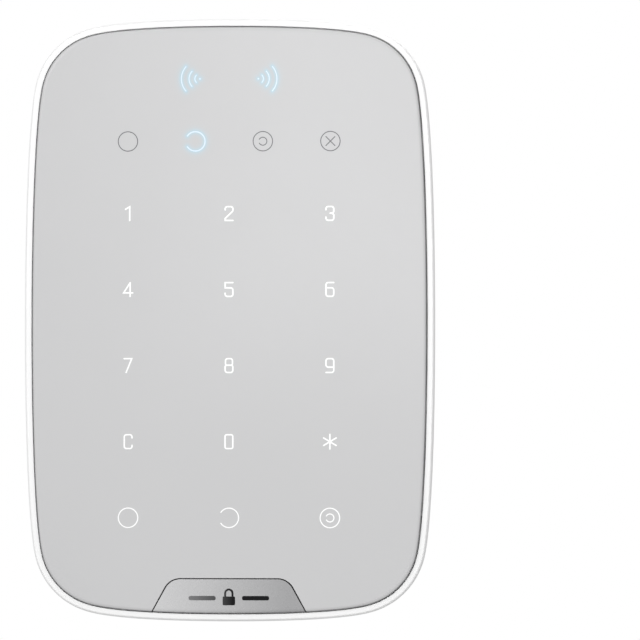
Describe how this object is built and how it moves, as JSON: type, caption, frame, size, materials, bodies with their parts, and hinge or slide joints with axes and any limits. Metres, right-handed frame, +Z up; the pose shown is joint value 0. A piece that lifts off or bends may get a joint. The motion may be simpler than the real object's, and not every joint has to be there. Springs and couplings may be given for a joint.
{
  "type": "alarm keypad",
  "caption": "Wall-mounted alarm touch keypad: glossy light-grey panel with lit symbols in a white case that slides onto a wall bracket.",
  "frame": {"origin": "centre of the bracket's back face, on the wall", "axes": "+X right as seen from the front, +Y into the wall, +Z up; the front faces -Y"},
  "size_m": [0.1128, 0.02, 0.1654],
  "materials": {
    "bracket_plastic": "fine-grained white ABS",
    "case_plastic": "white ABS, satin at the front rim and fine-grained at the back",
    "panel_gloss": "glossy light grey polycarbonate, hard coated",
    "badge_gloss": "satin grey metallic print on polycarbonate, lighter at the left",
    "badge_ink": "foil print that fades from grey to black",
    "legend_white": "translucent white window, lit from behind",
    "legend_grey": "translucent grey window, unlit",
    "legend_blue": "translucent window lit pale blue",
    "adhesive": "black foam tape",
    "film": "black polyimide film",
    "diffuser": "white light-guide plastic",
    "board": "green solder mask on glass epoxy",
    "led": "clear resin over phosphor",
    "copper": "flat copper winding",
    "ferrite": "dark ferrite sheet",
    "chip": "moulded epoxy",
    "shield": "tinned steel can",
    "ceramic": "ceramic",
    "spring_steel": "nickel-plated spring wire",
    "contact": "nickel-plated strip",
    "screw": "zinc-plated steel",
    "cell": "black and copper printed sleeve with bare steel ends",
    "insulator": "fish-paper sheet",
    "buzzer": "black sounder case",
    "button": "off-white POM",
    "switch": "black switch body"
  },
  "bodies": {
    "bracket": {"wall_bracket": "bracket_plastic"},
    "keypad": {"rear_shell": "case_plastic", "front_frame": "case_plastic", "touch_panel": "panel_gloss", "badge_plate": "badge_gloss", "badge_mark": "badge_ink", "numeral_windows": "legend_white", "arming_key_windows": "legend_white", "status_windows": "legend_grey", "lit_status_window": "legend_blue", "reader_windows": "legend_blue", "panel_adhesive": "adhesive", "touch_film": "film", "light_frame": "diffuser", "key_board": "board", "key_leds": "led", "status_leds": "led", "reader_coil": "copper", "ferrite_sheet": "ferrite", "controller_chip": "chip", "touch_chips": "chip", "radio_module": "shield", "board_passives": "ceramic", "radio_antenna": "copper", "battery_cells": "cell", "battery_springs": "spring_steel", "contact_plates": "contact", "battery_insulator": "insulator", "battery_cover": "case_plastic", "battery_cover_screws": "screw", "case_screws": "screw", "buzzer": "buzzer", "tamper_spring": "spring_steel", "tamper_switch": "switch", "power_switch": "switch"},
    "retainer": {"retaining_screw": "screw"},
    "tamper": {"tamper_plunger": "button"},
    "power": {"power_button": "button"}
  },
  "joints": [
    {"name": "keypad_slide", "type": "slide", "parent": "bracket", "child": "keypad", "axis": [0, 0, 1], "range_m": [0, 0.007]},
    {"name": "retaining_screw_out", "type": "slide", "parent": "bracket", "child": "retainer", "axis": [0, 0, -1], "range_m": [0, 0.006]},
    {"name": "tamper_press", "type": "slide", "parent": "keypad", "child": "tamper", "axis": [0, -1, 0], "range_m": [0, 0.0008], "stiffness_N_per_m": 250, "springref_m": -0.0015, "deforming": ["tamper_spring"]},
    {"name": "power_press", "type": "slide", "parent": "keypad", "child": "power", "axis": [0, -1, 0], "range_m": [0, 0.0005], "stiffness_N_per_m": 1200, "springref_m": -0.0005}
  ]
}
